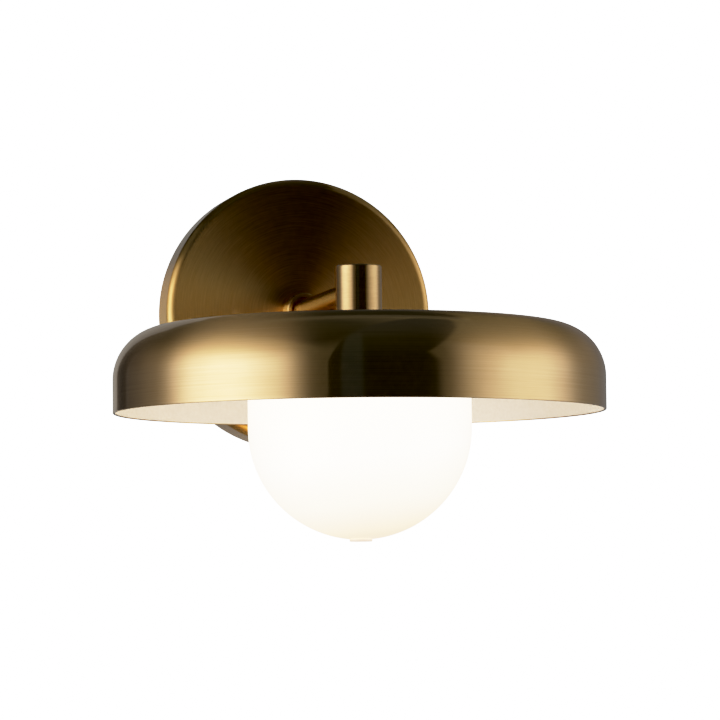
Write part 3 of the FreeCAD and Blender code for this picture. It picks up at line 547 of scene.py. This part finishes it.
# Floor: a plain sheet of pale paper well below the light, not part of it. Its own
# glow reaches the camera alone, so it looks pale and lights nothing.
floor_z = -2.0
floor_half = 2.0
floor_corners = [(-1, -1), (1, -1), (1, 1), (-1, 1)]
floor_mesh = bpy.data.meshes.new("floor")
floor_mesh.from_pydata([(x * floor_half, head_y + y * floor_half, floor_z) for x, y in floor_corners],
                       [], [(0, 1, 2, 3)])
floor = bpy.data.objects.new("floor", floor_mesh)
bpy.context.scene.collection.objects.link(floor)
paper = mottled("pale_paper", "#e4e4e2", "#efefee", grain=0.05, roughness=0.8)
camera_rays = add(paper.node_tree, "ShaderNodeLightPath")
paper.node_tree.links.new(camera_rays.outputs["Is Camera Ray"],
                          paper.node_tree.nodes["Principled BSDF"].inputs["Emission Strength"])
floor.data.materials.append(paper)

# Studio: a wide soft box on the left and a dimmer one on the right, in a dark room
# with a pale card behind the light. The camera sees the room as plain white.
room = bpy.data.worlds.new("studio")
bpy.context.scene.world = room
room.use_nodes = True
tree = room.node_tree
tree.nodes.clear()
rays = add(tree, "ShaderNodeLightPath")
place = add(tree, "ShaderNodeTexCoord")
split = add(tree, "ShaderNodeSeparateXYZ", {"Vector": place.outputs["Generated"]})
to_front = add(tree, "ShaderNodeMath", {0: split.outputs["Y"], 1: -1.0}, operation="MULTIPLY")
bearing = add(tree, "ShaderNodeMath", {0: split.outputs["X"], 1: to_front.outputs[0]},
              operation="ARCTAN2")
turn_share = add(tree, "ShaderNodeMapRange", {"Value": bearing.outputs[0], "From Min": -math.pi,
                 "From Max": math.pi})
# Bearing in degrees from the front towards the right, and brightness.
room_light = [
    (-180, 0.035), (-153, 0.035), (-151, 0.11), (-148, 0.085), (-138, 0.12), (-122, 0.21), (-115, 0.42),
    (-108, 1.1), (-98, 2.35), (-84, 3.05), (-74, 2.97), (-56, 1.8), (-50, 1.35), (-43, 0.36), (-37, 0.04),
    (-31, 0.006), (-15, 0.002), (22, 0.004), (28, 0.03), (34, 0.24), (42, 0.62), (50, 0.92), (60, 1.3),
    (72, 1.5), (82, 1.48), (94, 0.9), (104, 0.37), (112, 0.2), (124, 0.16), (156, 0.17), (170, 0.1),
    (180, 0.035)]
horizon = add(tree, "ShaderNodeValToRGB", {"Fac": turn_share.outputs["Result"]},
              stops=[((angle + 180) / 360, (level, level, level, 1)) for angle, level in room_light])


def beyond(plane, soft=0.01):
    """1 where the direction looks past a plane through the light, to the side of the plane's normal, and 0
    on its other side, with an edge as soft as given."""
    off = add(tree, "ShaderNodeVectorMath", {0: place.outputs["Generated"], 1: plane},
              operation="DOT_PRODUCT")
    step = add(tree, "ShaderNodeMapRange", {"Value": off.outputs["Value"], "From Min": -soft,
               "From Max": soft})
    return step.outputs["Result"]


def faded(direction, start, end):
    """1 where the direction looked in reaches less than the start along the given direction, 0 where it
    reaches past the end."""
    along = add(tree, "ShaderNodeVectorMath", {0: place.outputs["Generated"], 1: direction},
                operation="DOT_PRODUCT")
    share = add(tree, "ShaderNodeMapRange", {"Value": along.outputs["Value"], "From Min": start,
                "From Max": end, "To Min": 1.0, "To Max": 0.0})
    return share.outputs["Result"]


def joined(kind, *shares):
    """One share from several, by the named kind of arithmetic."""
    whole = shares[0]
    for share in shares[1:]:
        whole = add(tree, "ShaderNodeMath", {0: whole, 1: share}, operation=kind).outputs[0]
    return whole


def layered(share, below, above, kind="MIX"):
    """One colour over another where the share says so."""
    return add(tree, "ShaderNodeMix", {"Factor": share, "A": below, "B": above}, data_type="RGBA",
               blend_type=kind).outputs[2]


# The boxes' light is a little stronger low down and warmer high up. Heights here are
# sines of the elevation. Each tint goes with its share of the way up.
tint_low, tint_high = -0.2, 0.6
height_tints = [(0.0, (1.08, 1.08, 1.1, 1)), (0.25, (1.06, 1.06, 1.06, 1)),
                (0.5, (0.99, 0.89, 0.8, 1)), (1.0, (1.0, 0.92, 0.8, 1))]
height = add(tree, "ShaderNodeMapRange", {"Value": split.outputs["Z"], "From Min": tint_low,
             "From Max": tint_high})
warming = add(tree, "ShaderNodeValToRGB", {"Fac": height.outputs["Result"]}, stops=height_tints)
boxes = layered(1.0, horizon.outputs["Color"], warming.outputs["Color"], "MULTIPLY")

# The boxes end between these heights, under a dark ceiling. The front part of the
# right one reaches higher by its rise.
box_top_start, box_top_end = 0.28, 0.58
right_box_rise = 0.16
ceiling_tone = (0.028, 0.03, 0.022, 1)
raised = joined("MULTIPLY", faded((-1, 0, 0), -0.4, -0.15), faded((0, 1, 0), -0.6, -0.35), right_box_rise)
lift = add(tree, "ShaderNodeMapRange", {"Value": joined("SUBTRACT", split.outputs["Z"], raised),
           "From Min": box_top_start, "From Max": box_top_end}, interpolation_type="SMOOTHSTEP")
ceiling = layered(lift.outputs["Result"], boxes, ceiling_tone)

# The pale card behind the light, inside its left, right, top and slanted edges.
card_tone = (0.3, 0.29, 0.27, 1)
card = joined("MULTIPLY", beyond((1, 0.208, 0), 0.004), beyond((-1, 0.17, 0)), beyond((0, 0.64, -1)),
              beyond((-1.46, 0.63, -1)))
with_card = layered(card, ceiling, card_tone)
dim = add(tree, "ShaderNodeBackground", {"Color": with_card})

# What the clear lacquer mirrors sharply is the same room, with more in it. First
# come the ceiling straight overhead, olive on the left and grey on the right, and a
# warm glow in front. It fades to the back and high on the left.
ceiling_left_tone = (0.15, 0.13, 0.06, 1)
ceiling_right_tone = (0.2, 0.2, 0.17, 1)
glow_tone = (1.15, 0.79, 0.3, 1)
overhead = faded((0, 0, -1), -1.0, -0.8)
high_panel = layered(overhead, with_card, layered(beyond((1, 0, 0), 0.2), ceiling_left_tone,
                                                  ceiling_right_tone))
glow_place = joined("MAXIMUM", beyond((0, -1, 0.42), 0.04), beyond((1, 0, -0.47), 0.02),
                    beyond((-1, 0, -1.2), 0.2))
glow_height = joined("MAXIMUM", faded((-0.6, 0, 1), 0.72, 1.0), beyond((-1, 0, -0.75), 0.08))
glow_share = joined("MULTIPLY", faded((0, 1, -0.3), -0.3, 0.7), glow_place, glow_height)
glowing = layered(glow_share, high_panel, glow_tone, "ADD")

# Then a dark screen stands in front and leans over the light. Its rear edge has a
# pale border, and one greenish strip shows left of its middle.
border_tone = (0.37, 0.27, 0.136, 1)
screen_tone = (0.06, 0.075, 0.045, 1)
strip_tone = (0.26, 0.3, 0.21, 1)
screen_front = beyond((0, -1, 0.38), 0.04)
border = joined("MULTIPLY", joined("SUBTRACT", beyond((0, -1, 0.62), 0.04), screen_front),
                beyond((-1, 0, 0.5)), beyond((1, 0, 0.2), 0.1))
bordered = layered(border, glowing, border_tone, "ADD")
strip = joined("MULTIPLY", beyond((1, -0.414, 0)), beyond((-1, 0.22, 0)))
screen = layered(overhead, layered(strip, screen_tone, strip_tone), ceiling_right_tone)
screen_place = joined("MULTIPLY", beyond((1, -0.547, -0.08)), screen_front,
                      joined("MAXIMUM", beyond((-1, -0.435, -0.2), 0.035), beyond((-1, -0.13, 0.462), 0.02)))
mirrored = add(tree, "ShaderNodeBackground", {"Color": layered(screen_place, bordered, screen)})

# Only the first reflection shows all that. The depth of its ray is 2 here, and
# later ones are deeper, so no glow reaches a piece by way of another's lacquer.
past_first = 2.5
first = add(tree, "ShaderNodeMath", {0: rays.outputs["Ray Depth"], 1: past_first}, operation="LESS_THAN")
lacquer = joined("MULTIPLY", rays.outputs["Is Singular Ray"], first.outputs[0])
felt = add(tree, "ShaderNodeMixShader", {0: lacquer, 1: dim.outputs[0], 2: mirrored.outputs[0]})
plain = add(tree, "ShaderNodeBackground", {"Color": colour("#ffffff"), "Strength": picture_white})
seen = add(tree, "ShaderNodeMixShader", {0: rays.outputs["Is Camera Ray"], 1: felt.outputs[0],
           2: plain.outputs[0]})
add(tree, "ShaderNodeOutputWorld", {"Surface": seen.outputs[0]})

# Camera: at the photograph's angle, a little below the shade and to the left, with
# a long lens. Its place was fitted to the light's outlines. The picture is toned
# like the photograph, with its darks pulled down and its lights rolled off.
camera_place = (-0.36388, -1.55414, -0.13738)
focal_length = 167.73
film_width = 36
yaw, pitch, roll = (math.radians(angle) for angle in (14.3755, 4.1711, -0.5615))
forward = np.array([math.sin(yaw) * math.cos(pitch), math.cos(yaw) * math.cos(pitch), math.sin(pitch)])
level_right = np.array([math.cos(yaw), -math.sin(yaw), 0.0])
level_up = np.cross(level_right, forward)
pose = np.eye(4)
pose[:3, 0] = math.cos(roll) * level_right + math.sin(roll) * level_up
pose[:3, 1] = math.cos(roll) * level_up - math.sin(roll) * level_right
pose[:3, 2] = -forward
pose[:3, 3] = camera_place
lens = bpy.data.cameras.new("camera")
lens.sensor_width = film_width
lens.lens = focal_length
camera = bpy.data.objects.new("camera", lens)
camera.matrix_world = Matrix(pose.tolist())
bpy.context.scene.collection.objects.link(camera)
bpy.context.scene.camera = camera
toning = bpy.context.scene.view_settings
toning.view_transform = "Standard"
toning.use_curve_mapping = True
picture_black = 0.006
# Light in the scene, and light in the picture.
tones = [(0.1, 0.1), (0.3, 0.3), (0.5, 0.49), (0.63, 0.6), (0.8, 0.7), (1.0, 0.79), (1.25, 0.865),
         (1.6, 0.925), (2.0, 0.97)]
toning.curve_mapping.black_level = [picture_black] * 3
toning.curve_mapping.white_level = [picture_white] * 3
for scene_light, picture_light in tones:
    point = toning.curve_mapping.curves[3].points.new(scene_light / picture_white, picture_light)
    point.handle_type = "AUTO_CLAMPED"
toning.curve_mapping.update()
